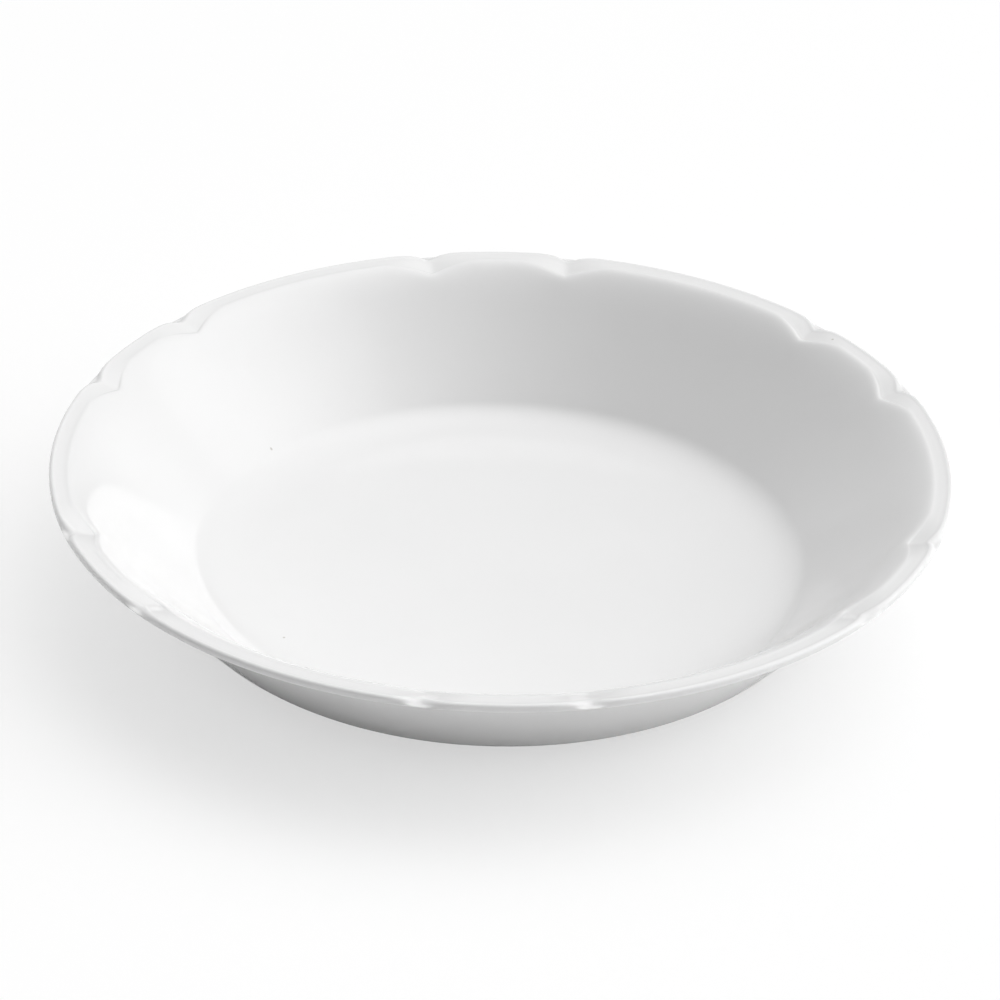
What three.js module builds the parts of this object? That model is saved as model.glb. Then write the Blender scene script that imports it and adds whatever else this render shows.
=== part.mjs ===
// Deep coupe plate with a lobed edge, in millimetres, +Z up.
// It stands on the plane z = 0 with its middle on the Z axis.
// Three pieces: the porcelain body, the glaze over it, and the glaze inside its foot ring.

import * as THREE from 'three';
import { mergeVertices, toCreasedNormals } from 'three/addons/utils/BufferGeometryUtils.js';

// Overall sizes
const rimDiameter = 230;
const plateHeight = 38;

// Well: the flat floor inside, and the curve that joins it to the wall
const baseThickness = 3.4;
const floorDiameter = 146;
const wellCurveRadius = 13;

// Wall, and the shoulder that rounds its top: a curve that reaches in from the ridge and down the wall
const wallThicknessAtEdge = 3.2;
const wallThicknessAtBase = 3.6;
const shoulderReach = 2.3;
const shoulderLength = 12;

// Raised edge: an upright lip, a ledge inside it, and a ridge where the ledge borders the wall
const lipHeight = 1.9;
const lipRounding = 0.9;
const lipUnderWidth = 1.5;
const lipUnderDrop = 0.35;
const bandWidth = 4.6;
const ridgeDrop = 0.45;
const ridgeHeight = 0.06;
const ridgeFlank = 1;
const ledgeRise = 0.3;
const lipFlank = 0.9;

// Lobes: the notches come in pairs, with a short lobe inside a pair and a long one between pairs
const notchPairs = 6;
const shortLobeAngle = 20;
const lipNotch = { depth: 2.0, drop: 1.2, halfAngle: 6, sharpness: 4.0 };
const ridgeNotch = { depth: 3.0, drop: 2.3, halfAngle: 5.5, sharpness: 1.35 };
const lipCornerShare = 0.85;
const lipFaceShare = 0.55;
const pleatLength = 11;
const pleatFade = 1.5;

// Foot ring, set out from under the edge of the floor
const footSetOut = 1.9;
const footWidth = 4.2;
const footHeight = 2;
const footTaper = 0.5;
const footRounding = 0.5;
const recessDepth = 1.6;
const recessCurve = 0.9;
const turnInSlope = 10;

// Glaze, which stops short of the standing edge, and the seam that keeps it clear of the body
const glazeThickness = 0.3;
const glazeSeam = 0.02;
const bareFootHeight = 0.6;

// How finely the curves are drawn
const wellCurveSteps = 4;
const shoulderSteps = 5;
const turnInSteps = 3;
const flankAngles = [1.3, 3.8];
const longLobeSteps = 6;
const weldDistance = 1e-4;
const creaseAngle = 40;

const { degToRad, lerp } = THREE.MathUtils;

// Heights and radii that follow from the sizes above
const rimRadius = rimDiameter / 2;
const floorRadius = floorDiameter / 2;
const floorHeight = recessDepth + baseThickness;
const footRadius = floorRadius + footSetOut;
const crestRadius = rimRadius - bandWidth;
const crestHeight = plateHeight - ridgeDrop;

// Angles of the two notches in each pair, in degrees round the Z axis
const sectorAngle = 360 / notchPairs;
const notchAngles = [];
for (let pair = 0; pair < notchPairs; pair += 1) {
  const middle = (pair + 0.5) * sectorAngle;
  notchAngles.push(middle - shortLobeAngle / 2, middle + shortLobeAngle / 2);
}

// Angles at which the surface is drawn: close together on a notch's flanks, wider on the lobes
function drawnAngles() {
  const outerFlank = Math.max(...flankAngles);
  const longSpan = sectorAngle - shortLobeAngle - 2 * outerFlank;
  const angles = [];
  for (const notch of notchAngles) {
    angles.push(notch);
    for (const flank of flankAngles) {
      angles.push(notch - flank, notch + flank);
    }
  }
  for (let pair = 0; pair < notchPairs; pair += 1) {
    const middle = (pair + 0.5) * sectorAngle;
    const longStart = middle + shortLobeAngle / 2 + outerFlank;
    angles.push(middle);
    for (let step = 1; step < longLobeSteps; step += 1) {
      angles.push(longStart + longSpan * step / longLobeSteps);
    }
  }
  return angles.sort((a, b) => a - b);
}

const columns = drawnAngles();

// Distance in degrees from an angle to the nearest notch
function offNotch(angle) {
  return Math.min(...notchAngles.map((notch) => {
    const turn = Math.abs(angle - notch) % 360;
    return Math.min(turn, 360 - turn);
  }));
}

// A station is a point of the profile. It takes the notch's share by two numbers:
// across is 0 at the lip and 1 at the ridge, and pleat is 1 on the band and fades to 0 beside it.
function station(r, z, across = 0, pleat = 0) {
  return { r, z, across, pleat };
}

// Section of the plate at an angle, with its stations drawn in and down by the nearest notch
function sectionAt(stations, angle) {
  return stations.map(({ r, z, across, pleat }) => {
    const depth = lerp(lipNotch.depth, ridgeNotch.depth, across);
    const drop = lerp(lipNotch.drop, ridgeNotch.drop, across);
    const halfAngle = lerp(lipNotch.halfAngle, ridgeNotch.halfAngle, across);
    const sharpness = lerp(lipNotch.sharpness, ridgeNotch.sharpness, across);
    const nearness = 1 - Math.min(1, offNotch(angle) / halfAngle);
    const share = pleat * nearness ** sharpness;
    return new THREE.Vector2(r - depth * share, z - drop * share);
  });
}

// How much of the ridge's notch is left at a distance from the ridge
function pleatAt(distance) {
  return Math.max(0, 1 - distance / pleatLength) ** pleatFade;
}

// Slope of the wall, whose line touches the well's curve and runs up to the corner that the shoulder rounds
function wallSlope(corner) {
  const across = corner.x - floorRadius;
  const up = corner.y - floorHeight - wellCurveRadius;
  return Math.atan2(up, across) + Math.asin(wellCurveRadius / Math.hypot(across, up));
}

const ridgeCrest = new THREE.Vector2(crestRadius, crestHeight);
const wallCorner = new THREE.Vector2(crestRadius - shoulderReach, crestHeight);
const slope = wallSlope(wallCorner);
const intoBowl = new THREE.Vector2(-Math.sin(slope), Math.cos(slope));
const downWall = new THREE.Vector2(-Math.cos(slope), -Math.sin(slope));
const wallFoot = new THREE.Vector2(floorRadius, floorHeight + wellCurveRadius)
  .addScaledVector(intoBowl, -wellCurveRadius);
const wallTop = wallCorner.clone().addScaledVector(downWall, shoulderLength);

// Finished inside, from the middle of the floor up to the ridge
function insideStations() {
  const stations = [station(0, floorHeight)];
  for (let step = 0; step <= wellCurveSteps; step += 1) {
    const turn = slope * step / wellCurveSteps;
    const r = floorRadius + wellCurveRadius * Math.sin(turn);
    stations.push(station(r, floorHeight + wellCurveRadius * (1 - Math.cos(turn))));
  }
  const shoulder = new THREE.QuadraticBezierCurve(wallTop, wallCorner, ridgeCrest);
  for (const point of shoulder.getPoints(shoulderSteps).slice(0, -1)) {
    stations.push(station(point.x, point.y, 1, pleatAt(point.distanceTo(ridgeCrest))));
  }
  return stations;
}

// Finished edge, from the ridge's crest over the ledge and the lip to the root of its underside
function edgeStations() {
  const ledgeStart = crestRadius + ridgeFlank;
  const ledgeHeight = crestHeight - ridgeHeight;
  const lipCrest = rimRadius - lipRounding;
  const ledgeEnd = lipCrest - lipFlank;
  const lipShare = (r) => (lipCrest - r) / (lipCrest - crestRadius);
  const corner = lipRounding * (1 - Math.SQRT1_2);
  const lipFoot = plateHeight - lipHeight;
  return [
    station(crestRadius, crestHeight, 1, 1),
    station(ledgeStart, ledgeHeight, lipShare(ledgeStart), 1),
    station(ledgeEnd, ledgeHeight + ledgeRise, lipShare(ledgeEnd), 1),
    station(lipCrest, plateHeight, 0, 1),
    station(rimRadius - corner, plateHeight - corner, 0, lipCornerShare),
    station(rimRadius, plateHeight - lipRounding, 0, lipFaceShare),
    station(rimRadius, lipFoot),
    station(rimRadius - lipUnderWidth, lipFoot - lipUnderDrop),
  ];
}

// Finished outside, from under the lip down the wall, turning under to the foot ring
function outsideStations() {
  const top = wallCorner.clone()
    .addScaledVector(downWall, shoulderReach)
    .addScaledVector(intoBowl, -wallThicknessAtEdge);
  const base = wallFoot.clone().addScaledVector(intoBowl, -wallThicknessAtBase);
  const foot = new THREE.Vector2(footRadius + footTaper, footHeight);
  const down = base.clone().sub(top).normalize();
  const out = new THREE.Vector2(Math.cos(degToRad(turnInSlope)), Math.sin(degToRad(turnInSlope)));
  const reach = foot.clone().sub(base).cross(out) / down.cross(out);
  const turnIn = new THREE.QuadraticBezierCurve(base, base.clone().addScaledVector(down, reach), foot);
  const stations = [station(top.x, top.y)];
  for (const point of turnIn.getPoints(turnInSteps)) {
    stations.push(station(point.x, point.y));
  }
  stations.push(station(footRadius + footTaper * bareFootHeight / footHeight, bareFootHeight));
  return stations;
}

// Finished recess inside the foot ring, from the edge of its glaze to the middle
function recessStations() {
  const wall = footRadius - footWidth;
  const corner = recessCurve * (1 - Math.SQRT1_2);
  return [
    station(wall, bareFootHeight),
    station(wall - corner, recessDepth - corner),
    station(wall - recessCurve, recessDepth),
    station(0, recessDepth),
  ];
}

// A section moved inwards, square to itself, by a distance.
// It runs from the axis over the top and back underneath, so its inside is on its right.
function movedIn(section, distance) {
  return section.map((point, index) => {
    const before = section[Math.max(index - 1, 0)];
    const after = section[Math.min(index + 1, section.length - 1)];
    const normals = [[before, point], [point, after]]
      .filter(([from, to]) => from !== to)
      .map(([from, to]) => new THREE.Vector2(to.y - from.y, from.x - to.x).normalize());
    const inward = normals.reduce((total, normal) => total.clone().add(normal)).normalize();
    const moved = point.clone().addScaledVector(inward, distance / inward.dot(normals[0]));
    if (point.x === 0) moved.x = 0;
    return moved;
  });
}

// Turns a section round the Z axis, taking its shape at each drawn angle from a function.
// A four-sided face is split along its shorter diagonal, so that the faces of two pieces that lie
// against each other are split the same way, whichever way their sections run.
function turned(shapeAt) {
  const sections = columns.map(shapeAt);
  const rows = sections[0].length;
  const geometry = new THREE.LatheGeometry(sections[0], columns.length);
  const position = geometry.getAttribute('position');
  const corners = [];
  for (let vertex = 0; vertex < position.count; vertex += 1) {
    const column = Math.floor(vertex / rows) % columns.length;
    const { x: r, y: z } = sections[column][vertex % rows];
    const turn = degToRad(columns[column]);
    corners.push(new THREE.Vector3(r * Math.cos(turn), r * Math.sin(turn), z));
    position.setXYZ(vertex, ...corners[vertex]);
  }
  const faces = [];
  for (let column = 0; column < columns.length; column += 1) {
    for (let row = 0; row < rows - 1; row += 1) {
      const a = column * rows + row;
      const b = a + rows;
      const fromFirst = corners[a].distanceTo(corners[b + 1]) < corners[b].distanceTo(corners[a + 1]);
      faces.push(...(fromFirst ? [a, b + 1, b, a, a + 1, b + 1] : [a, a + 1, b, b, a + 1, b + 1]));
    }
  }
  geometry.setIndex(faces);
  return closed(geometry);
}

// Welds the seam and the points on the axis, and drops the faces that vanish there
function closed(geometry) {
  geometry.deleteAttribute('uv');
  geometry.deleteAttribute('normal');
  const welded = mergeVertices(geometry, weldDistance);
  const index = welded.getIndex().array;
  const kept = [];
  for (let face = 0; face < index.length; face += 3) {
    const [a, b, c] = index.slice(face, face + 3);
    if (a !== b && b !== c && c !== a) kept.push(a, b, c);
  }
  welded.setIndex(kept);
  return toCreasedNormals(welded, degToRad(creaseAngle));
}

const mainStations = [...insideStations(), ...edgeStations(), ...outsideStations()];
const recessFace = sectionAt(recessStations(), 0);
const underGlaze = glazeThickness + glazeSeam;

// Bare standing edge of the foot ring, between the ends of the two coats of glaze
function bareFoot(outer, inner) {
  const corner = footRounding * (1 - Math.SQRT1_2);
  return [
    new THREE.Vector2(outer.x - corner, corner),
    new THREE.Vector2(outer.x - footRounding, 0),
    new THREE.Vector2(inner.x + footRounding, 0),
    new THREE.Vector2(inner.x + corner, corner),
  ];
}

function porcelainBody() {
  const recess = movedIn(recessFace, underGlaze);
  const geometry = turned((angle) => {
    const main = movedIn(sectionAt(mainStations, angle), underGlaze);
    return [...main, ...bareFoot(main[main.length - 1], recess[0]), ...recess];
  });
  const material = new THREE.MeshStandardMaterial({ color: 0xe4e2dc, roughness: 0.6, metalness: 0 });
  const mesh = new THREE.Mesh(geometry, material);
  mesh.name = 'porcelain_body';
  return mesh;
}

function glazeMaterial() {
  return new THREE.MeshStandardMaterial({ color: 0xf1f1f0, roughness: 0.12, metalness: 0 });
}

function mainGlazeCoat() {
  const geometry = turned((angle) => {
    const face = sectionAt(mainStations, angle);
    return [...face, ...movedIn(face, glazeThickness).toReversed()];
  });
  const mesh = new THREE.Mesh(geometry, glazeMaterial());
  mesh.name = 'main_glaze_coat';
  return mesh;
}

function footRecessGlaze() {
  const outline = [...movedIn(recessFace, glazeThickness).toReversed(), ...recessFace];
  const mesh = new THREE.Mesh(turned(() => outline), glazeMaterial());
  mesh.name = 'foot_recess_glaze';
  return mesh;
}

const plate = new THREE.Group();
plate.name = 'deep_coupe_plate';
plate.add(porcelainBody(), mainGlazeCoat(), footRecessGlaze());

export default plate;
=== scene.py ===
"""Looks of a deep coupe plate with a lobed edge, in white glazed porcelain.

Lengths are metres and +Z is up. The plate stands on z = 0 with its middle on the Z axis, as in the CAD.
"""

import logging
import math
from dataclasses import astuple, dataclass
from enum import Enum
from typing import ClassVar

import bpy
import numpy as np
from mathutils import Matrix, Vector
from mathutils.geometry import interpolate_bezier


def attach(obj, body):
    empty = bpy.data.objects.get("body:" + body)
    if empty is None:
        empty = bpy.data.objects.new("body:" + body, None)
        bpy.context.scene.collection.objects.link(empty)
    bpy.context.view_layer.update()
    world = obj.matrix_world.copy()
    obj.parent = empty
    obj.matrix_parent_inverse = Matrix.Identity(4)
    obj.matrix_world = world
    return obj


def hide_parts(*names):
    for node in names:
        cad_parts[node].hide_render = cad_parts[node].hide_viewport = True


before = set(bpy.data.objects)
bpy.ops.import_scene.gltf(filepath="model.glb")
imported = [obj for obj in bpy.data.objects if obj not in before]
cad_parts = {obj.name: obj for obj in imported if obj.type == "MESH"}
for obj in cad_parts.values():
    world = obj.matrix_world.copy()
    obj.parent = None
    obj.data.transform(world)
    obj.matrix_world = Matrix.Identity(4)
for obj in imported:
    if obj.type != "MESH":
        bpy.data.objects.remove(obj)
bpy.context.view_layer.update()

logger = logging.getLogger("plate")

MM = 0.001
MERGE_DISTANCE = 0.001 * MM
CREASE_ANGLE = math.radians(50)


class CadNode(Enum):
    """CAD nodes that the pieces stand for."""

    BODY = "porcelain_body"
    MAIN_GLAZE = "main_glaze_coat"
    RECESS_GLAZE = "foot_recess_glaze"


class Slot(Enum):
    """Material slots of the record."""

    BARE = "bare_porcelain"
    GLAZE = "white_glaze"


class Weight(Enum):
    """Vertex weights that say how a point of the edge follows a notch."""

    PLEAT = "pleat"
    ACROSS = "across"


# Drawing outlines


@dataclass(frozen=True)
class Station:
    """A point of a section: its radius and height, and how it follows a notch of the edge.

    across is 0 at the lip and 1 at the ridge, and pleat is the share of the notch that the point takes.
    """

    r: float
    z: float
    across: float = 0.0
    pleat: float = 0.0


def arc(centre: Vector, radius: float, start: float, end: float, steps: int) -> list[Vector]:
    """Draws an arc in the plane of a section.

    Args:
        centre: Middle of the arc, as radius and height.
        radius: Radius of the arc.
        start: Angle of its first point, from the outward direction.
        end: Angle of its last point.
        steps: Number of straight runs that draw it.

    Returns:
        The points of the arc, both ends among them.
    """
    angles = [start + (end - start) * step / steps for step in range(steps + 1)]
    return [centre + radius * Vector((math.cos(angle), math.sin(angle))) for angle in angles]


def rounded(before: Vector, corner: Vector, after: Vector, radius: float, steps: int) -> list[Vector]:
    """Rounds a corner between two straight runs of a section.

    Args:
        before: A point on the run that comes to the corner.
        corner: The sharp corner.
        after: A point on the run that leaves it.
        radius: Radius of the rounding.
        steps: Number of straight runs that draw it.

    Returns:
        The points of the rounding, which touches both runs.
    """
    back = (before - corner).normalized()
    ahead = (after - corner).normalized()
    half = back.angle(ahead) / 2
    middle = corner + (back + ahead).normalized() * radius / math.sin(half)
    first = corner + back * radius / math.tan(half) - middle
    last = corner + ahead * radius / math.tan(half) - middle
    turn = first.angle_signed(last)
    points = []
    for step in range(steps + 1):
        points.append(middle + Matrix.Rotation(-turn * step / steps, 2) @ first)
    return points


def swept(start: Vector, corner: Vector, end: Vector, steps: int) -> list[Vector]:
    """Draws a soft curve from one straight run of a section to another.

    Args:
        start: Its first point, on the run that comes to the corner.
        corner: The sharp corner of the two runs.
        end: Its last point, on the run that leaves the corner.
        steps: Number of straight runs that draw it.

    Returns:
        The points of the curve, both ends among them.
    """
    # Handles two thirds of the way to the corner make it a plain parabola
    leaving, arriving = start.lerp(corner, 2 / 3), end.lerp(corner, 2 / 3)
    return interpolate_bezier(start, leaving, arriving, end, steps + 1)


def flowing(points: list[Vector], steps: int) -> list[Vector]:
    """Draws a smooth curve through points, level at its two ends.

    Args:
        points: Points that the curve passes through.
        steps: Number of straight runs between two of them.

    Returns:
        The points of the curve, both ends among them.
    """
    tangents = [(after - before) / 2 for before, after in zip(points, points[2:])]
    first = Vector((points[1].x - points[0].x, 0))
    last = Vector((points[-1].x - points[-2].x, 0))
    tangents = [first, *tangents, last]
    drawn = []
    for index in range(len(points) - 1):
        start, end = points[index], points[index + 1]

        # A handle is a third of the tangent at its end
        leaving, arriving = start + tangents[index] / 3, end - tangents[index + 1] / 3
        drawn.extend(interpolate_bezier(start, leaving, arriving, end, steps + 1)[:-1])
    return [*drawn, points[-1]]


@dataclass(frozen=True)
class NotchBorder:
    """How a notch draws one border of the edge in and down, and how wide and how sharp it is."""

    depth: float | np.ndarray
    drop: float | np.ndarray
    half_angle: float | np.ndarray
    sharpness: float | np.ndarray

    def towards(self, other: "NotchBorder", share: np.ndarray) -> "NotchBorder":
        """Finds the notch between this border and another.

        Args:
            other: The other border.
            share: How far each point lies on the way to it, from 0 to 1.

        Returns:
            The notch at each point.
        """
        pairs = zip(astuple(self), astuple(other))
        return NotchBorder(*(mine + share * (theirs - mine) for mine, theirs in pairs))


@dataclass(frozen=True)
class LobedEdge:
    """Notches of the edge, which come in pairs, with a short lobe in a pair and a long one between pairs."""

    pairs: int = 6
    short_lobe: float = math.radians(20)
    lip: NotchBorder = NotchBorder(
        depth=2.0 * MM, drop=1.2 * MM, half_angle=math.radians(6), sharpness=4.0)
    ridge: NotchBorder = NotchBorder(
        depth=3.0 * MM, drop=2.3 * MM, half_angle=math.radians(6.6), sharpness=1.7)
    tip_rounding: float = math.radians(0.4)
    tip_half_angle: float = math.radians(3)
    tip_steps: int = 6
    flank_steps: int = 5
    short_steps: int = 3
    long_steps: int = 7

    @property
    def sector(self) -> float:
        """Angle from one pair to the next."""
        return 2 * math.pi / self.pairs

    def off_notch(self, angles: np.ndarray) -> np.ndarray:
        """Measures how far angles are from the nearest notch.

        Args:
            angles: Angles round the Z axis.

        Returns:
            The distances, as angles, with the notch's tip rounded off.
        """
        in_pair = np.abs(np.mod(angles, self.sector) - self.sector / 2)
        off = np.abs(in_pair - self.short_lobe / 2)
        return np.hypot(off, self.tip_rounding) - self.tip_rounding

    def stretches(self) -> list[tuple[float, int]]:
        """Divides a turn into stretches, with close columns at the notches and wider ones along the lobes.

        Returns:
            The angle of each stretch and its number of columns, from the middle of a long lobe round to it.
        """
        reach = max(self.lip.half_angle, self.ridge.half_angle)
        flank = (reach - self.tip_half_angle, self.flank_steps)
        tip = (2 * self.tip_half_angle, 2 * self.tip_steps)
        long_half = ((self.sector - self.short_lobe) / 2 - reach, self.long_steps)
        short = (self.short_lobe - 2 * reach, self.short_steps)
        notch = [flank, tip, flank]
        return [long_half, *notch, short, *notch, long_half] * self.pairs

    def press(self, piece: bpy.types.Object) -> None:
        """Presses the notches into a turned piece, as its mould does. No operator follows such a cusp.

        Args:
            piece: The piece, with the weights that its stations gave it.
        """
        count = len(piece.data.vertices)
        flat = np.empty(3 * count)
        piece.data.vertices.foreach_get("co", flat)
        points = flat.reshape(count, 3)
        across = read_weights(piece, Weight.ACROSS)
        pleat = read_weights(piece, Weight.PLEAT)
        angle = np.arctan2(points[:, 1], points[:, 0])
        radius = np.hypot(points[:, 0], points[:, 1])
        notch = self.lip.towards(self.ridge, across)
        nearness = 1 - np.minimum(1, self.off_notch(angle) / notch.half_angle)
        share = pleat * nearness ** notch.sharpness
        radius -= notch.depth * share
        points[:, 0] = radius * np.cos(angle)
        points[:, 1] = radius * np.sin(angle)
        points[:, 2] -= notch.drop * share
        piece.data.vertices.foreach_set("co", points.ravel())
        piece.data.update()


@dataclass(frozen=True)
class PlateSection:
    """Sizes of the plate's section, and the outlines that follow from them."""

    rim_radius: float = 115 * MM
    height: float = 38 * MM
    base_thickness: float = 3.4 * MM
    floor_radius: float = 73 * MM
    well_curve: float = 13 * MM
    well_start: float = 64 * MM
    well_corner: float = 75.5 * MM
    well_rise: float = 6 * MM
    wall_at_edge: float = 3.2 * MM
    wall_at_base: float = 3.6 * MM
    lip_height: float = 1.9 * MM
    lip_rounding: float = 0.9 * MM
    lip_lower_rounding: float = 0.4 * MM
    lip_under_width: float = 1.5 * MM
    lip_under_drop: float = 0.35 * MM
    lip_under_curve: float = 1.5 * MM
    wall_top_curve: float = 20 * MM
    band_width: float = 4.6 * MM
    ridge_drop: float = 0.35 * MM
    ridge_height: float = 0.02 * MM
    ridge_flank: float = 1 * MM
    ledge_rise: float = 0.18 * MM
    lip_flank: float = 0.9 * MM
    shoulder_reach: float = 2.3 * MM
    shoulder_length: float = 12 * MM
    pleat_length: float = 11 * MM
    pleat_fade: float = 1.5
    lip_face_share: float = 0.55
    lip_face_fade: float = 1.6
    foot_set_out: float = 1.9 * MM
    foot_width: float = 4.2 * MM
    foot_height: float = 2 * MM
    foot_taper: float = 0.5 * MM
    foot_rounding: float = 0.5 * MM
    foot_root_curve: float = 0.6 * MM
    recess_depth: float = 1.6 * MM
    recess_curve: float = 0.9 * MM
    turn_in_slope: float = math.radians(10)
    bare_foot: float = 0.6 * MM
    well_steps: int = 14
    shoulder_steps: int = 22
    edge_steps: int = 4
    rounding_steps: int = 4
    face_steps: int = 3
    turn_in_steps: int = 10
    floor_rings: int = 3

    @property
    def floor_height(self) -> float:
        """Height of the floor inside."""
        return self.recess_depth + self.base_thickness

    @property
    def foot_radius(self) -> float:
        """Outer radius of the foot ring where it stands."""
        return self.floor_radius + self.foot_set_out

    @property
    def crest(self) -> Vector:
        """Top of the ridge between the wall and the band."""
        return Vector((self.rim_radius - self.band_width, self.height - self.ridge_drop))

    @property
    def wall_corner(self) -> Vector:
        """Corner of the wall with the level of the ridge's crest, which the shoulder rounds off."""
        return self.crest - Vector((self.shoulder_reach, 0))

    @property
    def slope(self) -> float:
        """Measures the slope of the wall's outside.

        Returns:
            The angle up from level of a line from the wall's corner that touches the well's plain arc.
        """
        across = self.wall_corner.x - self.floor_radius
        up = self.wall_corner.y - self.floor_height - self.well_curve
        return math.atan2(up, across) + math.asin(self.well_curve / math.hypot(across, up))

    @property
    def into_bowl(self) -> Vector:
        """Direction square to the wall's outside, into the bowl."""
        return Vector((-math.sin(self.slope), math.cos(self.slope)))

    @property
    def down_wall(self) -> Vector:
        """Direction down the wall's outside."""
        return Vector((-math.cos(self.slope), -math.sin(self.slope)))

    @property
    def wall_foot(self) -> Vector:
        """Place where the wall's line leaves the well's plain arc, which sets the outside's lower end."""
        middle = Vector((self.floor_radius, self.floor_height + self.well_curve))
        return middle - self.well_curve * self.into_bowl

    def pleat_at(self, below: float) -> float:
        """Gives the share of the ridge's notch that is left at a distance from the ridge."""
        return max(0.0, 1 - below / self.pleat_length) ** self.pleat_fade

    def inside(self) -> list[Station]:
        """Draws the inside face.

        Returns:
            Its stations, from the middle of the floor up to just short of the ridge's crest.
        """
        rings = range(self.floor_rings)
        stations = [Station(self.well_start * ring / self.floor_rings, self.floor_height) for ring in rings]

        # The well's curve is longer than the plain arc, because the floor's border looks soft
        start = Vector((self.well_start, self.floor_height))
        corner = Vector((self.well_corner, self.floor_height))
        up_wall = (self.wall_corner - corner).normalized()
        well = swept(start, corner, corner + self.well_rise * up_wall, self.well_steps)
        stations.extend(Station(point.x, point.y) for point in well)
        wall_top = self.wall_corner - self.shoulder_length * up_wall
        shoulder = swept(wall_top, self.wall_corner, self.crest, self.shoulder_steps)
        for point in shoulder[:-1]:
            stations.append(Station(point.x, point.y, 1, self.pleat_at((self.crest - point).length)))
        return stations

    def edge(self) -> list[Station]:
        """Draws the band between the ridge and the lip, and the lip's rounded top and face.

        Returns:
            Its stations, from the ridge's crest to above the lip's lower edge.
        """
        lip_crest = Vector((self.rim_radius - self.lip_rounding, self.height))
        ledge_start = self.crest + Vector((self.ridge_flank, -self.ridge_height))
        ledge_end = Vector((lip_crest.x - self.lip_flank, ledge_start.y + self.ledge_rise))
        stations = []
        for point in flowing([self.crest, ledge_start, ledge_end, lip_crest], self.edge_steps)[:-1]:
            across = (lip_crest.x - point.x) / (lip_crest.x - self.crest.x)
            stations.append(Station(point.x, point.y, across, 1))
        middle = lip_crest - Vector((0, self.lip_rounding))
        top = arc(middle, self.lip_rounding, math.pi / 2, 0, self.rounding_steps)
        for step, point in enumerate(top):
            lost = (1 - self.lip_face_share) * (step / self.rounding_steps) ** self.lip_face_fade
            stations.append(Station(point.x, point.y, 0, 1 - lost))
        face_top = top[-1].y
        face_run = face_top - (self.height - self.lip_height + self.lip_lower_rounding)
        for step in range(1, self.face_steps):
            down = step / self.face_steps
            share = self.lip_face_share * (1 - down)
            stations.append(Station(self.rim_radius, face_top - face_run * down, 0, share))
        return stations

    def outside(self) -> list[Station]:
        """Draws the outside face.

        Returns:
            Its stations, from the lip's lower edge down the wall, turning under, to where the glaze ends.
        """
        face = Vector((self.rim_radius, self.height))
        lip_foot = Vector((self.rim_radius, self.height - self.lip_height))
        root = lip_foot - Vector((self.lip_under_width, self.lip_under_drop))
        top = self.wall_corner + self.shoulder_reach * self.down_wall - self.wall_at_edge * self.into_bowl
        base = self.wall_foot - self.wall_at_base * self.into_bowl
        foot = Vector((self.foot_radius + self.foot_taper, self.foot_height))
        bare_taper = self.foot_taper * self.bare_foot / self.foot_height
        glaze_end = Vector((self.foot_radius + bare_taper, self.bare_foot))
        down = (base - top).normalized()
        outward = Vector((math.cos(self.turn_in_slope), math.sin(self.turn_in_slope)))
        reach = (foot - base).cross(outward) / down.cross(outward)
        turn = base + down * reach
        points = rounded(face, lip_foot, root, self.lip_lower_rounding, self.rounding_steps)
        points += rounded(lip_foot, root, top, self.lip_under_curve, self.rounding_steps)
        points += rounded(root, top, base, self.wall_top_curve, self.turn_in_steps)
        points += swept(base, turn, foot, self.turn_in_steps)[:-1]
        points += rounded(turn, foot, glaze_end, self.foot_root_curve, self.rounding_steps)
        points.append(glaze_end)
        return [Station(point.x, point.y) for point in points]

    def main_face(self) -> list[Station]:
        """Gives the stations of the whole glazed face, from the middle of the floor to the foot ring."""
        return [*self.inside(), *self.edge(), *self.outside()]

    def recess_face(self, set_back: float = 0.0) -> list[Vector]:
        """Draws the recess inside the foot ring.

        Args:
            set_back: How far the face lies inside the porcelain from the finished one.

        Returns:
            Its points, from the lower edge of its glaze to near the middle.
        """
        wall = self.foot_radius - self.foot_width + set_back
        ceiling = self.recess_depth + set_back
        corner = Vector((wall, ceiling))
        edge = Vector((wall, self.bare_foot))
        middle = Vector((0, ceiling))
        return [edge, *rounded(edge, corner, middle, self.recess_curve, self.rounding_steps)]

    def standing_edge(self, outer: float, inner: float) -> list[Vector]:
        """Draws the bare underside of the foot ring.

        Args:
            outer: Outer radius of the ring.
            inner: Inner radius of the ring.

        Returns:
            Its points, from the outer side round the standing face to the inner side.
        """
        outer_low, inner_low, high = Vector((outer, 0)), Vector((inner, 0)), Vector((0, self.foot_height))
        points = rounded(outer_low + high, outer_low, inner_low, self.foot_rounding, self.rounding_steps)
        points += rounded(outer_low, inner_low, inner_low + high, self.foot_rounding, self.rounding_steps)
        return points


# Modelling


def deselect_all() -> None:
    """Goes to object mode and deselects every object."""
    if bpy.context.object and bpy.context.object.mode != "OBJECT":
        bpy.ops.object.mode_set(mode="OBJECT")
    bpy.ops.object.select_all(action="DESELECT")


def pick(piece: bpy.types.Object) -> None:
    """Selects a piece alone, for the operators that follow.

    Args:
        piece: The piece.
    """
    deselect_all()
    piece.select_set(True)
    bpy.context.view_layer.objects.active = piece


def read_weights(piece: bpy.types.Object, weight: Weight) -> np.ndarray:
    """Reads a vertex weight of every point of a piece, 0 where a point has none.

    Args:
        piece: The piece.
        weight: Which weight is read.

    Returns:
        The weights, in the order of the piece's points.
    """
    group = piece.vertex_groups[weight.value].index
    weights = np.zeros(len(piece.data.vertices))
    for vertex in piece.data.vertices:
        for member in vertex.groups:
            if member.group == group:
                weights[vertex.index] = member.weight
    return weights


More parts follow.
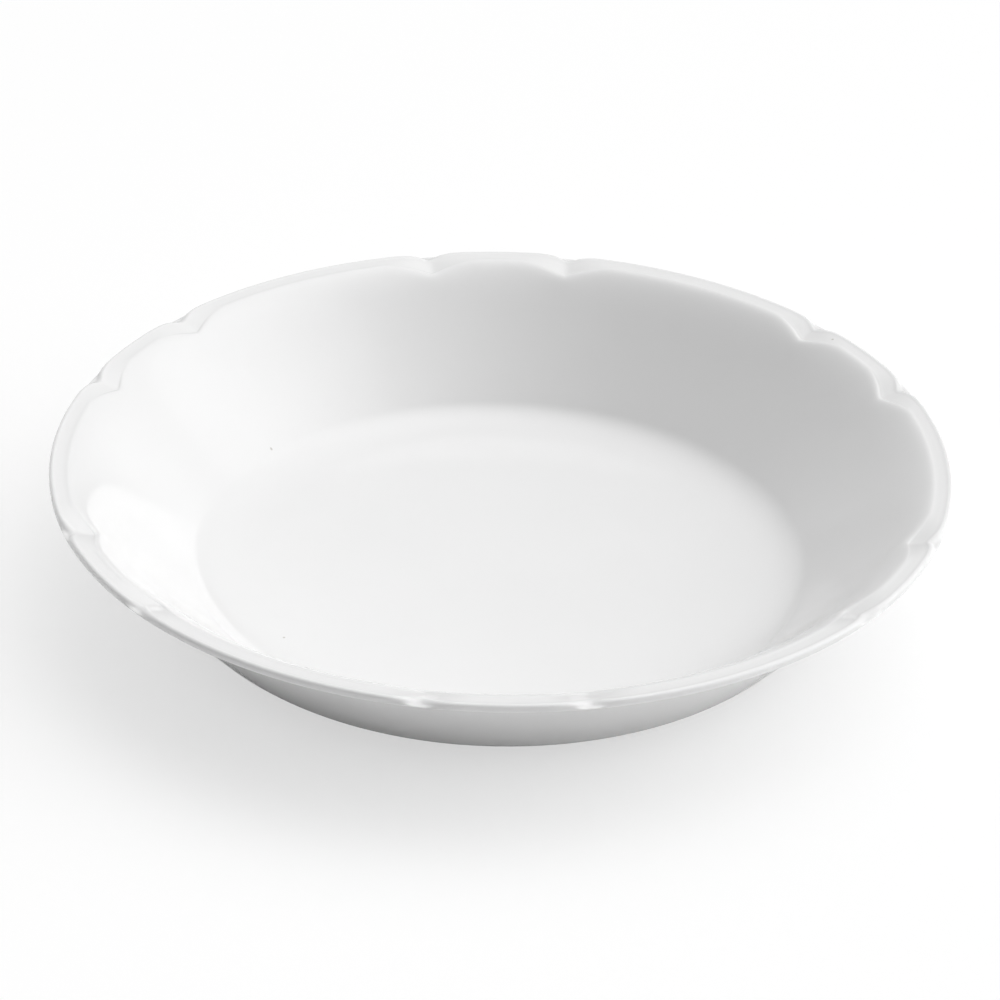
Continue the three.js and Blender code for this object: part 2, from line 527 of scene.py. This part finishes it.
def selected_ring(piece: bpy.types.Object) -> Vector:
    """Measures the ring of points that is selected in edit mode.

    Args:
        piece: The piece that is being edited.

    Returns:
        The ring's radius and height.
    """
    piece.update_from_editmode()
    point = next(vertex.co for vertex in piece.data.vertices if vertex.select)
    return Vector((point.xy.length, point.z))


def drawn_profile(name: str, stations: list[Station]) -> bpy.types.Object:
    """Draws a section as a chain of edges, extruded point by point from a small plane merged to its middle.

    Args:
        name: Name of the new object.
        stations: Stations of the section, in order.

    Returns:
        The chain, in the plane of X and Z, with the stations' weights.
    """
    deselect_all()
    bpy.ops.mesh.primitive_plane_add(size=MM, location=(0, 0, 0))
    piece = bpy.context.object
    piece.name = name
    piece.data.name = name
    bpy.ops.object.mode_set(mode="EDIT")
    bpy.ops.mesh.select_mode(type="VERT")
    bpy.ops.mesh.select_all(action="SELECT")
    bpy.ops.mesh.merge(type="CENTER")
    first = stations[0]
    bpy.ops.transform.translate(value=(first.r, 0, first.z))
    for before, after in zip(stations, stations[1:]):
        step = (after.r - before.r, 0, after.z - before.z)
        bpy.ops.mesh.extrude_vertices_move(TRANSFORM_OT_translate={"value": step})
    bpy.ops.object.mode_set(mode="OBJECT")
    across = piece.vertex_groups.new(name=Weight.ACROSS.value)
    pleat = piece.vertex_groups.new(name=Weight.PLEAT.value)
    for index, station in enumerate(stations):
        across.add([index], station.across, "REPLACE")
        pleat.add([index], station.pleat, "REPLACE")
    return piece


def turned(
    name: str, stations: list[Station], stretches: list[tuple[float, int]], inward: bool = False
) -> bpy.types.Object:
    """Turns a section round the Z axis into an open skin.

    Args:
        name: Name of the new object.
        stations: Stations of the section, in order.
        stretches: Angle and number of columns of each stretch of the turn.
        inward: Whether its faces point into the hollow that it spans, as in a recess.

    Returns:
        The skin, with its seam and middle closed.
    """
    piece = drawn_profile(name, stations)
    bpy.ops.object.mode_set(mode="EDIT")
    bpy.ops.mesh.select_all(action="SELECT")
    for angle, steps in stretches:
        bpy.ops.mesh.spin(steps=steps, angle=angle, center=(0, 0, 0), axis=(0, 0, 1))
    bpy.ops.mesh.select_all(action="SELECT")
    bpy.ops.mesh.remove_doubles(threshold=MERGE_DISTANCE)
    bpy.ops.mesh.dissolve_degenerate(threshold=MERGE_DISTANCE)
    bpy.ops.mesh.normals_make_consistent(inside=inward)
    bpy.ops.object.mode_set(mode="OBJECT")
    return piece


def finish_shading(piece: bpy.types.Object) -> None:
    """Shades a piece smooth, apart from its creases, and drops the weights it no longer needs.

    Args:
        piece: The finished piece.
    """
    pick(piece)
    piece.vertex_groups.clear()
    bpy.ops.object.shade_smooth_by_angle(angle=CREASE_ANGLE)


def apply_modifier(piece: bpy.types.Object, kind: str, **settings: object) -> None:
    """Adds a modifier to a piece and applies it.

    Args:
        piece: The piece.
        kind: Kind of modifier, in Blender's words.
        **settings: Values of the modifier.
    """
    pick(piece)
    bpy.ops.object.modifier_add(type=kind)
    modifier = piece.modifiers[-1]
    for setting, value in settings.items():
        setattr(modifier, setting, value)
    bpy.ops.object.modifier_apply(modifier=modifier.name)


# Finishes


def linear(colour: str) -> tuple[float, float, float, float]:
    """Turns an sRGB hex colour into a linear one.

    Args:
        colour: The colour, as six hex digits after a hash.

    Returns:
        Red, green, blue and full opacity.
    """
    channels = [int(colour[place:place + 2], 16) / 255 for place in (1, 3, 5)]
    bright = [((value + 0.055) / 1.055) ** 2.4 if value > 0.04045 else value / 12.92 for value in channels]
    return (*bright, 1.0)


def add_node(
    tree: bpy.types.NodeTree, kind: str, settings: dict[str, object] | None = None,
    *ordered: object, **named: object
) -> bpy.types.Node:
    """Adds a node to a tree, with its settings, values and links.

    An input that is given the output of another node is linked to it, and any other is set.

    Args:
        tree: The tree.
        kind: Kind of node, in Blender's words.
        settings: Settings of the node itself, by name.
        *ordered: Its first inputs, in order.
        **named: Its inputs by name, with _ for a space.

    Returns:
        The new node.
    """
    node = tree.nodes.new(kind)
    for setting, value in (settings or {}).items():
        setattr(node, setting, value)
    given = list(zip(node.inputs, ordered))
    for name, value in named.items():
        wanted = name.replace("_", " ")
        socket = next(entry for entry in node.inputs if entry.name == wanted and entry.enabled)
        given.append((socket, value))
    for socket, value in given:
        if isinstance(value, bpy.types.NodeSocket):
            tree.links.new(value, socket)
        else:
            socket.default_value = value
    return node


def new_material(name: str) -> bpy.types.Material:
    """Makes an empty node material.

    Args:
        name: Name of the material.

    Returns:
        The material, with no nodes.
    """
    material = bpy.data.materials.new(name)
    material.use_nodes = True
    material.node_tree.nodes.clear()
    return material


def shown(node: bpy.types.Node, name: str) -> bpy.types.NodeSocket:
    """Gives the output of a node that has a name and is in use."""
    return next(entry for entry in node.outputs if entry.name == name and entry.enabled)


@dataclass(frozen=True)
class WhiteGlaze:
    """Clear feldspar glaze fired over white porcelain: bright neutral white with a hard wet gloss.

    The glass lies a little thick and thin, so the gloss wavers slightly and the white drifts by a shade.
    A pin speck shows here and there, where a grain of iron melted in.
    """

    white: str = "#F1F1F1"
    thick_white: str = "#EDEDED"
    speck: str = "#CECCC8"
    ior: float = 1.5
    roughness_low: float = 0.045
    roughness_high: float = 0.085
    tone_size: float = 38 * MM
    tone_detail: float = 2.0
    gloss_size: float = 14 * MM
    gloss_detail: float = 3.0
    wave_size: float = 26 * MM
    wave_detail: float = 1.0
    wave_height: float = 0.02 * MM
    speck_spacing: float = 105 * MM
    speck_radius: float = 0.25 * MM
    speck_blur: float = 0.15 * MM
    scatter_weight: float = 0.1
    scatter_radius: float = 1.2 * MM

    def material(self) -> bpy.types.Material:
        """Makes the material.

        Returns:
            The material, on Object coordinates.
        """
        material = new_material("White_glazed_porcelain")
        tree = material.node_tree
        place = add_node(tree, "ShaderNodeTexCoord").outputs["Object"]

        # The white drifts with the thickness of the glaze
        tone = add_node(
            tree, "ShaderNodeTexNoise",
            Vector=place, Scale=1 / self.tone_size, Detail=self.tone_detail)
        white = add_node(
            tree, "ShaderNodeMix", {"data_type": "RGBA"},
            Factor=tone.outputs[0], A=linear(self.white), B=linear(self.thick_white))

        # One speck in each cell of a loose net seen from above, larger than a real one so that it shows
        net = add_node(
            tree, "ShaderNodeTexVoronoi", {"voronoi_dimensions": "2D"},
            Vector=place, Scale=1 / self.speck_spacing)
        inner = self.speck_radius / self.speck_spacing
        outer = (self.speck_radius + self.speck_blur) / self.speck_spacing
        clear = add_node(
            tree, "ShaderNodeMapRange", Value=net.outputs["Distance"], From_Min=inner, From_Max=outer)
        colour = add_node(
            tree, "ShaderNodeMix", {"data_type": "RGBA"},
            Factor=clear.outputs[0], A=linear(self.speck), B=shown(white, "Result"))

        # The gloss and the surface waver where the glaze flowed
        flow = add_node(
            tree, "ShaderNodeTexNoise",
            Vector=place, Scale=1 / self.gloss_size, Detail=self.gloss_detail)
        gloss = add_node(
            tree, "ShaderNodeMapRange", Value=flow.outputs[0],
            To_Min=self.roughness_low, To_Max=self.roughness_high)
        swell = add_node(
            tree, "ShaderNodeTexNoise",
            Vector=place, Scale=1 / self.wave_size, Detail=self.wave_detail)
        surface = add_node(tree, "ShaderNodeBump", Distance=self.wave_height, Height=swell.outputs[0])

        shader = add_node(
            tree, "ShaderNodeBsdfPrincipled",
            Base_Color=shown(colour, "Result"), Roughness=gloss.outputs[0], Normal=surface.outputs[0],
            IOR=self.ior, Subsurface_Weight=self.scatter_weight, Subsurface_Scale=self.scatter_radius,
            Subsurface_Radius=(1, 1, 1))
        add_node(tree, "ShaderNodeOutputMaterial", Surface=shader.outputs[0])
        return material


@dataclass(frozen=True)
class BarePorcelain:
    """Unglazed porcelain, wiped before firing: a matt, faintly warm white with a fine dry tooth.

    The standing edge is rubbed a little grey by shelves and tables.
    """

    white: str = "#E9E7E1"
    rubbed: str = "#CFCBC3"
    ior: float = 1.5
    roughness_low: float = 0.6
    roughness_high: float = 0.8
    rub_size: float = 9 * MM
    rub_detail: float = 4.0
    grain_size: float = 0.5 * MM
    grain_detail: float = 2.0
    grain_height: float = 0.03 * MM

    def material(self) -> bpy.types.Material:
        """Makes the material.

        Returns:
            The material, on Object coordinates.
        """
        material = new_material("Bare_fired_porcelain")
        tree = material.node_tree
        place = add_node(tree, "ShaderNodeTexCoord").outputs["Object"]
        rub = add_node(
            tree, "ShaderNodeTexNoise",
            Vector=place, Scale=1 / self.rub_size, Detail=self.rub_detail)
        colour = add_node(
            tree, "ShaderNodeMix", {"data_type": "RGBA"},
            Factor=rub.outputs[0], A=linear(self.white), B=linear(self.rubbed))

        # A real grain is under a tenth of this, so it is drawn coarser to show
        grain = add_node(
            tree, "ShaderNodeTexNoise",
            Vector=place, Scale=1 / self.grain_size, Detail=self.grain_detail)
        tooth = add_node(tree, "ShaderNodeBump", Distance=self.grain_height, Height=grain.outputs[0])
        matt = add_node(
            tree, "ShaderNodeMapRange", Value=rub.outputs[0],
            To_Min=self.roughness_high, To_Max=self.roughness_low)
        shader = add_node(
            tree, "ShaderNodeBsdfPrincipled",
            Base_Color=shown(colour, "Result"), Roughness=matt.outputs[0], Normal=tooth.outputs[0],
            IOR=self.ior)
        add_node(tree, "ShaderNodeOutputMaterial", Surface=shader.outputs[0])
        return material


# Pieces of the plate


class PlatePiece:
    """A piece of the plate, the CAD node that it stands for and the slot of its finish."""

    node: ClassVar[CadNode]
    slot: ClassVar[Slot]

    def build(self) -> bpy.types.Object:
        """Makes the piece, in each kind's own way."""
        raise NotImplementedError

    def dress(self, piece: bpy.types.Object, material: bpy.types.Material) -> None:
        """Gives the piece its finish and its place.

        Args:
            piece: The finished piece.
            material: Its material.
        """
        piece.data.materials.clear()
        piece.data.materials.append(material)
        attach(piece, "root")
        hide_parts(self.node.value)


@dataclass
class MainGlazeCoat(PlatePiece):
    """Glaze over the inside, the lobed edge and the outside, down to the foot ring."""

    node = CadNode.MAIN_GLAZE
    slot = Slot.GLAZE

    section: PlateSection
    lobes: LobedEdge
    thickness: float = 0.3 * MM

    def face(self, name: str) -> bpy.types.Object:
        """Turns the finished face and presses the notches into its edge.

        Args:
            name: Name of the new object.

        Returns:
            The face, an open skin that ends at the foot ring.
        """
        piece = turned(name, self.section.main_face(), self.lobes.stretches())
        self.lobes.press(piece)
        return piece

    def build(self) -> bpy.types.Object:
        """Makes the coat.

        Returns:
            The coat, a closed shell.
        """
        piece = self.face("glaze_over_plate")
        apply_modifier(piece, "SOLIDIFY", thickness=self.thickness, offset=-1, use_even_offset=True)
        finish_shading(piece)
        return piece


@dataclass
class FootRecessGlaze(PlatePiece):
    """Glaze inside the foot ring, apart from the main coat because the standing edge is bare."""

    node = CadNode.RECESS_GLAZE
    slot = Slot.GLAZE

    section: PlateSection
    thickness: float
    columns: int = 180

    def build(self) -> bpy.types.Object:
        """Makes the coat.

        Returns:
            The coat, a closed shell.
        """
        face = self.section.recess_face()
        stations = [Station(point.x, point.y) for point in face]
        stations.append(Station(0, self.section.recess_depth))
        piece = turned("glaze_in_foot_ring", stations, [(2 * math.pi, self.columns)], inward=True)
        apply_modifier(piece, "SOLIDIFY", thickness=self.thickness, offset=-1, use_even_offset=True)
        finish_shading(piece)
        return piece


@dataclass
class PorcelainBody(PlatePiece):
    """Fired porcelain under the glaze, bare only on the standing edge of the foot ring."""

    node = CadNode.BODY
    slot = Slot.BARE

    section: PlateSection
    coat: MainGlazeCoat
    seam: float = 0.02 * MM

    @property
    def set_back(self) -> float:
        """Distance from the finished face in to the body."""
        return self.coat.thickness + self.seam

    def build(self) -> bpy.types.Object:
        """Makes the body: the coat's face moved in, then drawn on under the foot ring and closed.

        Returns:
            The body, a closed solid.
        """
        piece = self.coat.face("porcelain_under_glaze")
        apply_modifier(piece, "DISPLACE", direction="NORMAL", mid_level=0, strength=-self.set_back)
        self.close_foot(piece)
        finish_shading(piece)
        return piece

    def close_foot(self, piece: bpy.types.Object) -> None:
        """Draws the open lower edge of the body round the foot ring and across the recess.

        Args:
            piece: The body's open skin.
        """
        bpy.ops.object.mode_set(mode="EDIT")
        bpy.ops.mesh.select_mode(type="EDGE")
        bpy.ops.mesh.select_all(action="DESELECT")
        bpy.ops.mesh.select_non_manifold(
            extend=False, use_wire=False, use_multi_face=False, use_non_contiguous=False)
        here = selected_ring(piece)
        recess = self.section.recess_face(self.set_back)
        outline = [*self.section.standing_edge(here.x, recess[0].x), *recess]
        for point in outline:
            rise = (0, 0, point.y - here.y)
            scale = point.x / here.x
            bpy.ops.mesh.extrude_region_move(TRANSFORM_OT_translate={"value": rise})
            bpy.ops.transform.resize(value=(scale, scale, 1), center_override=(0, 0, 0))
            here = point
        bpy.ops.mesh.extrude_region_move(TRANSFORM_OT_translate={"value": (0, 0, 0)})
        bpy.ops.mesh.merge(type="CENTER")
        bpy.ops.mesh.select_all(action="SELECT")
        bpy.ops.mesh.remove_doubles(threshold=MERGE_DISTANCE)
        bpy.ops.mesh.normals_make_consistent(inside=False)
        bpy.ops.object.mode_set(mode="OBJECT")


# Studio


def around(target: Vector, azimuth: float, elevation: float, distance: float) -> Vector:
    """Finds a place at a bearing from a target, 0 to the right and a quarter turn behind it.

    Args:
        target: What the bearing is taken from.
        azimuth: Angle round the Z axis from +X.
        elevation: Angle up from level.
        distance: Distance from the target.

    Returns:
        The place.
    """
    level = math.cos(elevation)
    ahead = Vector((level * math.cos(azimuth), level * math.sin(azimuth), math.sin(elevation)))
    return target + distance * ahead


@dataclass(frozen=True)
class SoftLight:
    """A wide soft light of the studio, brightest in its middle and fading evenly all round.

    Its angles are the bearings of around(), in degrees, and focus says how narrow it is.
    """

    azimuth: float
    elevation: float
    strength: float
    focus: float = 8.0

    def glow(self, tree: bpy.types.NodeTree, way: bpy.types.NodeSocket) -> bpy.types.NodeSocket:
        """Adds the light to the world's nodes.

        Args:
            tree: The world's nodes.
            way: The direction looked in.

        Returns:
            How bright the light is in that direction.
        """
        middle = around(Vector(), math.radians(self.azimuth), math.radians(self.elevation), 1.0)
        facing = add_node(tree, "ShaderNodeVectorMath", {"operation": "DOT_PRODUCT"}, way, middle)
        ahead = add_node(tree, "ShaderNodeMath", {"operation": "MAXIMUM"}, facing.outputs["Value"], 0.0)
        fade = add_node(tree, "ShaderNodeMath", {"operation": "POWER"}, ahead.outputs[0], self.focus)
        level = add_node(tree, "ShaderNodeMath", {"operation": "MULTIPLY"}, fade.outputs[0], self.strength)
        return level.outputs[0]


@dataclass(frozen=True)
class Softbox:
    """A lit screen with straight edges, aimed at the plate. Its edge shows in the glaze.

    Its angles are the bearings of around(), in degrees, and brightness is 1 where it looks white.
    """

    name: str
    azimuth: float
    elevation: float
    distance: float
    width: float
    height: float
    brightness: float

    def build(self, target: Vector) -> bpy.types.Object:
        """Hangs the screen.

        Args:
            target: The place that it is aimed at.

        Returns:
            The lamp.
        """
        place = around(target, math.radians(self.azimuth), math.radians(self.elevation), self.distance)
        aim = (target - place).to_track_quat("-Z", "Y").to_euler()
        bpy.ops.object.light_add(type="AREA", location=place, rotation=aim)
        lamp = bpy.context.object
        lamp.name = self.name
        lamp.data.shape = "RECTANGLE"
        lamp.data.size = self.width
        lamp.data.size_y = self.height
        lamp.data.energy = math.pi * self.width * self.height * self.brightness
        return lamp


@dataclass(frozen=True)
class PhotoCamera:
    """Camera at the photograph's place, with its picture taken as 1000 by 1000."""

    distance: float = 0.9615
    azimuth: float = math.radians(-91)
    elevation: float = math.radians(30.05)
    roll: float = math.radians(1.17)
    lens: float = 135.4
    shift_x: float = -0.0013
    shift_y: float = -0.0451

    def build(self, target: Vector) -> bpy.types.Object:
        """Places the camera.

        Args:
            target: The place that it looks at.

        Returns:
            The camera, which the scene uses.
        """
        place = around(target, self.azimuth, self.elevation, self.distance)
        aim = (target - place).to_track_quat("-Z", "Y").to_matrix() @ Matrix.Rotation(self.roll, 3, "Z")
        bpy.ops.object.camera_add(location=place, rotation=aim.to_euler())
        camera = bpy.context.object
        camera.name = "photo_camera"
        camera.data.lens = self.lens
        camera.data.shift_x = self.shift_x
        camera.data.shift_y = self.shift_y
        bpy.context.scene.camera = camera
        return camera


@dataclass
class Studio:
    """Plain pale floor, soft light and the camera.

    Most light comes from the right and from above. Low behind the plate the room is darker, so that the
    plate's own bright wall stands out where the glaze of the well mirrors it.
    """

    section: PlateSection
    camera: PhotoCamera = PhotoCamera()
    floor_white: str = "#FCFCFC"
    lifted_white: str = "#FFFFFF"
    floor_lift: float = 0.6
    mirrored_lift: float = 0.1
    floor_size: float = 12.0
    lights: tuple[SoftLight, ...] = (
        SoftLight(azimuth=0, elevation=68, strength=1.86),
        SoftLight(azimuth=0, elevation=45, strength=0.52),
        SoftLight(azimuth=0, elevation=14, strength=1.92),
        SoftLight(azimuth=45, elevation=5, strength=0.80, focus=30.0),
        SoftLight(azimuth=90, elevation=68, strength=1.60),
        SoftLight(azimuth=120, elevation=14, strength=0.70),
        SoftLight(azimuth=160, elevation=14, strength=0.34),
        SoftLight(azimuth=180, elevation=45, strength=0.28),
        SoftLight(azimuth=95, elevation=30, strength=0.25, focus=20.0),
    )
    softbox: Softbox = Softbox(
        "right_softbox", azimuth=-5, elevation=35, distance=1.6, width=2.2, height=1.5, brightness=0.45)

    def build_floor(self) -> bpy.types.Object:
        """Lays the floor.

        Returns:
            The floor.
        """
        bpy.ops.mesh.primitive_plane_add(size=self.floor_size, location=(0, 0, 0))
        floor = bpy.context.object
        floor.name = "studio_floor"
        material = new_material("Matt_white_paper")
        tree = material.node_tree
        paper = add_node(tree, "ShaderNodeBsdfDiffuse", Color=linear(self.floor_white))

        # What is seen of the floor is lifted towards white, so that its shadow is light.
        # It is lifted less where the glaze mirrors it, so that the plate's underside keeps its shade.
        lifts = {
            "Is Camera Ray": self.floor_lift,
            "Is Transmission Ray": self.floor_lift,
            "Is Glossy Ray": self.mirrored_lift,
        }
        path = add_node(tree, "ShaderNodeLightPath")
        lift = 0.0
        for ray, share in lifts.items():
            added = add_node(
                tree, "ShaderNodeMath", {"operation": "MULTIPLY_ADD"}, path.outputs[ray], share, lift)
            lift = added.outputs[0]
        white = add_node(tree, "ShaderNodeEmission", Color=linear(self.lifted_white), Strength=1.0)
        shader = add_node(tree, "ShaderNodeMixShader", None, lift, paper.outputs[0], white.outputs[0])
        add_node(tree, "ShaderNodeOutputMaterial", Surface=shader.outputs[0])
        material.cycles.emission_sampling = "NONE"
        floor.data.materials.append(material)
        return floor

    def build_air(self) -> None:
        """Lights the room with the soft lights."""
        world = bpy.data.worlds.new("studio_air")
        bpy.context.scene.world = world
        world.use_nodes = True
        tree = world.node_tree
        tree.nodes.clear()
        way = add_node(tree, "ShaderNodeTexCoord").outputs["Generated"]
        total = 0.0
        for light in self.lights:
            glow = light.glow(tree, way)
            total = add_node(tree, "ShaderNodeMath", {"operation": "ADD"}, glow, total).outputs[0]
        air = add_node(tree, "ShaderNodeBackground", Color=(1, 1, 1, 1), Strength=total)
        add_node(tree, "ShaderNodeOutputWorld", Surface=air.outputs[0])

    def build(self) -> None:
        """Sets up the floor, the light and the camera."""
        deselect_all()
        rim_middle = Vector((0, 0, self.section.height))
        self.build_floor()
        self.build_air()
        self.softbox.build(rim_middle)
        self.camera.build(rim_middle)
        bpy.context.scene.view_settings.view_transform = "Standard"


def main() -> None:
    """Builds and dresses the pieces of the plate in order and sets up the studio."""
    logging.basicConfig(level=logging.INFO, format="%(message)s")
    section = PlateSection()
    glaze = WhiteGlaze().material()
    bare = BarePorcelain().material()
    coat = MainGlazeCoat(section, LobedEdge())
    recess = FootRecessGlaze(section, coat.thickness)
    body = PorcelainBody(section, coat)
    for maker, material in ((coat, glaze), (recess, glaze), (body, bare)):
        piece = maker.build()
        maker.dress(piece, material)
        logger.info("%s: %d faces, for %s", piece.name, len(piece.data.polygons), maker.node.value)
    Studio(section).build()


if __name__ == "__main__":
    main()
